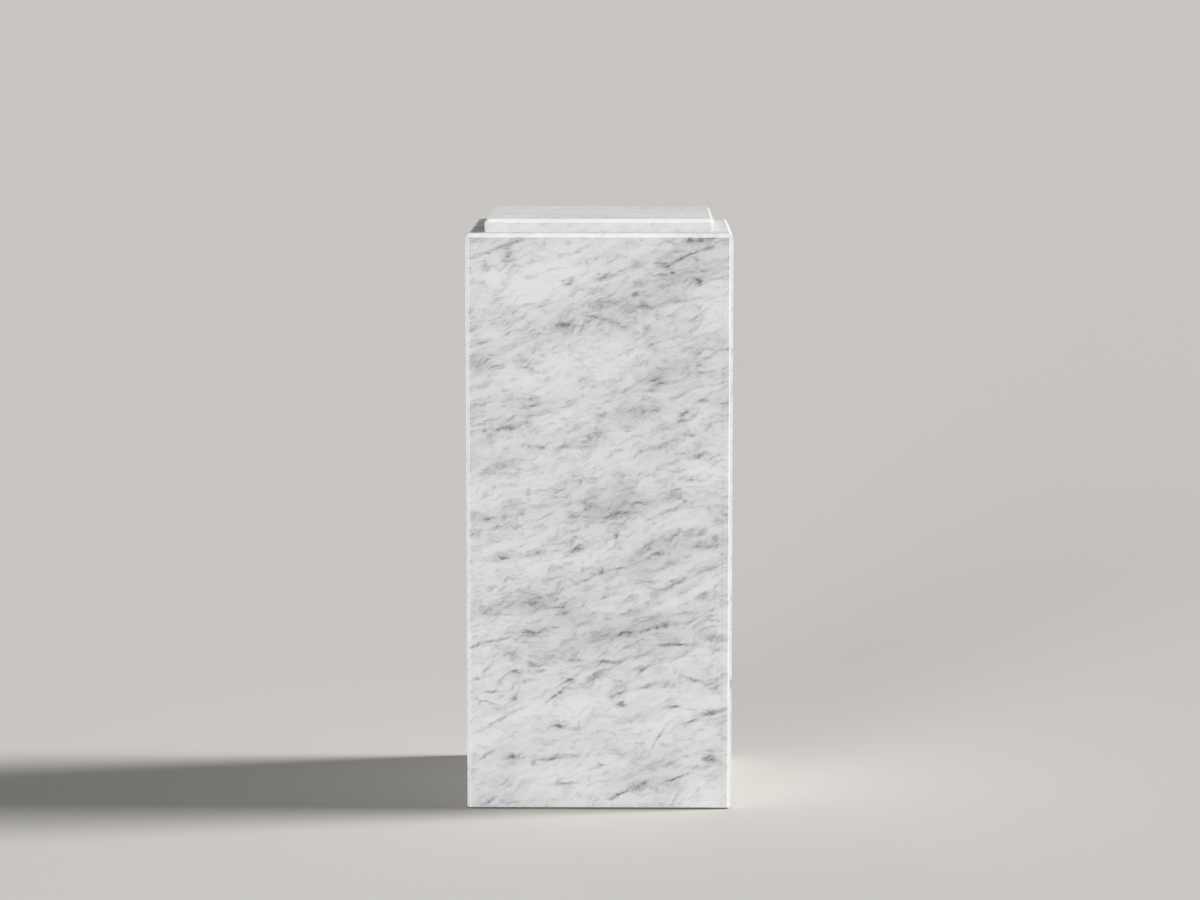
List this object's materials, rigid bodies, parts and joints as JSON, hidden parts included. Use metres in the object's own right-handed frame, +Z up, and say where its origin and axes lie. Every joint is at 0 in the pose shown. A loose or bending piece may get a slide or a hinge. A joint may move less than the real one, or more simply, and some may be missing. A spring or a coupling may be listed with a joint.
{
  "type": "pedestal column stand",
  "caption": "Square column clad in honed white marble with chamfered edges, a raised set-back cap on top and hidden levelling feet.",
  "frame": {"origin": "on the floor, under the middle of the column", "axes": "+Z up, +X to the right, -Y towards the front"},
  "size_m": [0.3, 0.3, 0.67],
  "materials": {
    "marble": "honed white marble with soft grey veins",
    "resin": "stone-coloured resin, rubbed flush",
    "sealant": "pale grey sealant",
    "adhesive": "cured construction adhesive",
    "plywood": "sanded birch plywood",
    "softwood": "planed pine",
    "zinc_steel": "zinc-plated",
    "black_nylon": "moulded nylon",
    "felt": "pressed wool felt"
  },
  "bodies": {
    "column": {"front_slab": "marble", "front_adhesive": "adhesive", "front_screws": "zinc_steel", "right_slab": "marble", "right_adhesive": "adhesive", "right_screws": "zinc_steel", "back_slab": "marble", "back_adhesive": "adhesive", "back_screws": "zinc_steel", "left_slab": "marble", "left_adhesive": "adhesive", "left_screws": "zinc_steel", "cap_slab": "marble", "mitre_resin": "resin", "cap_sealant": "sealant", "cap_adhesive": "adhesive", "core_front_panel": "plywood", "core_back_panel": "plywood", "core_left_panel": "plywood", "core_right_panel": "plywood", "core_deck": "plywood", "base_board": "plywood", "middle_brace": "plywood", "deck_screws": "zinc_steel", "levelling_nuts": "zinc_steel", "corner_batten_front_left": "softwood", "corner_batten_front_right": "softwood", "corner_batten_back_left": "softwood", "corner_batten_back_right": "softwood"},
    "foot_front_left": {"foot_felt_front_left": "felt", "foot_pad_front_left": "black_nylon"},
    "stem_front_left": {"foot_stem_front_left": "zinc_steel"},
    "foot_front_right": {"foot_felt_front_right": "felt", "foot_pad_front_right": "black_nylon"},
    "stem_front_right": {"foot_stem_front_right": "zinc_steel"},
    "foot_back_left": {"foot_felt_back_left": "felt", "foot_pad_back_left": "black_nylon"},
    "stem_back_left": {"foot_stem_back_left": "zinc_steel"},
    "foot_back_right": {"foot_felt_back_right": "felt", "foot_pad_back_right": "black_nylon"},
    "stem_back_right": {"foot_stem_back_right": "zinc_steel"}
  },
  "joints": [
    {"name": "foot_height_front_left", "type": "slide", "parent": "column", "child": "foot_front_left", "axis": [0, 0, -1], "range_m": [0, 0.008]},
    {"name": "stem_turn_front_left", "type": "hinge", "parent": "foot_front_left", "child": "stem_front_left", "pos_m": [-0.09, -0.09, 0.0081], "axis": [0, 0, -1], "range_deg": [0, 2304]},
    {"name": "foot_height_front_right", "type": "slide", "parent": "column", "child": "foot_front_right", "axis": [0, 0, -1], "range_m": [0, 0.008]},
    {"name": "stem_turn_front_right", "type": "hinge", "parent": "foot_front_right", "child": "stem_front_right", "pos_m": [0.09, -0.09, 0.0081], "axis": [0, 0, -1], "range_deg": [0, 2304]},
    {"name": "foot_height_back_left", "type": "slide", "parent": "column", "child": "foot_back_left", "axis": [0, 0, -1], "range_m": [0, 0.008]},
    {"name": "stem_turn_back_left", "type": "hinge", "parent": "foot_back_left", "child": "stem_back_left", "pos_m": [-0.09, 0.09, 0.0081], "axis": [0, 0, -1], "range_deg": [0, 2304]},
    {"name": "foot_height_back_right", "type": "slide", "parent": "column", "child": "foot_back_right", "axis": [0, 0, -1], "range_m": [0, 0.008]},
    {"name": "stem_turn_back_right", "type": "hinge", "parent": "foot_back_right", "child": "stem_back_right", "pos_m": [0.09, 0.09, 0.0081], "axis": [0, 0, -1], "range_deg": [0, 2304]}
  ],
  "couplings": [
    {"joint": "stem_turn_front_left", "follows": "foot_height_front_left", "rad_per_m": 5026.5},
    {"joint": "stem_turn_front_right", "follows": "foot_height_front_right", "rad_per_m": 5026.5},
    {"joint": "stem_turn_back_left", "follows": "foot_height_back_left", "rad_per_m": 5026.5},
    {"joint": "stem_turn_back_right", "follows": "foot_height_back_right", "rad_per_m": 5026.5}
  ]
}
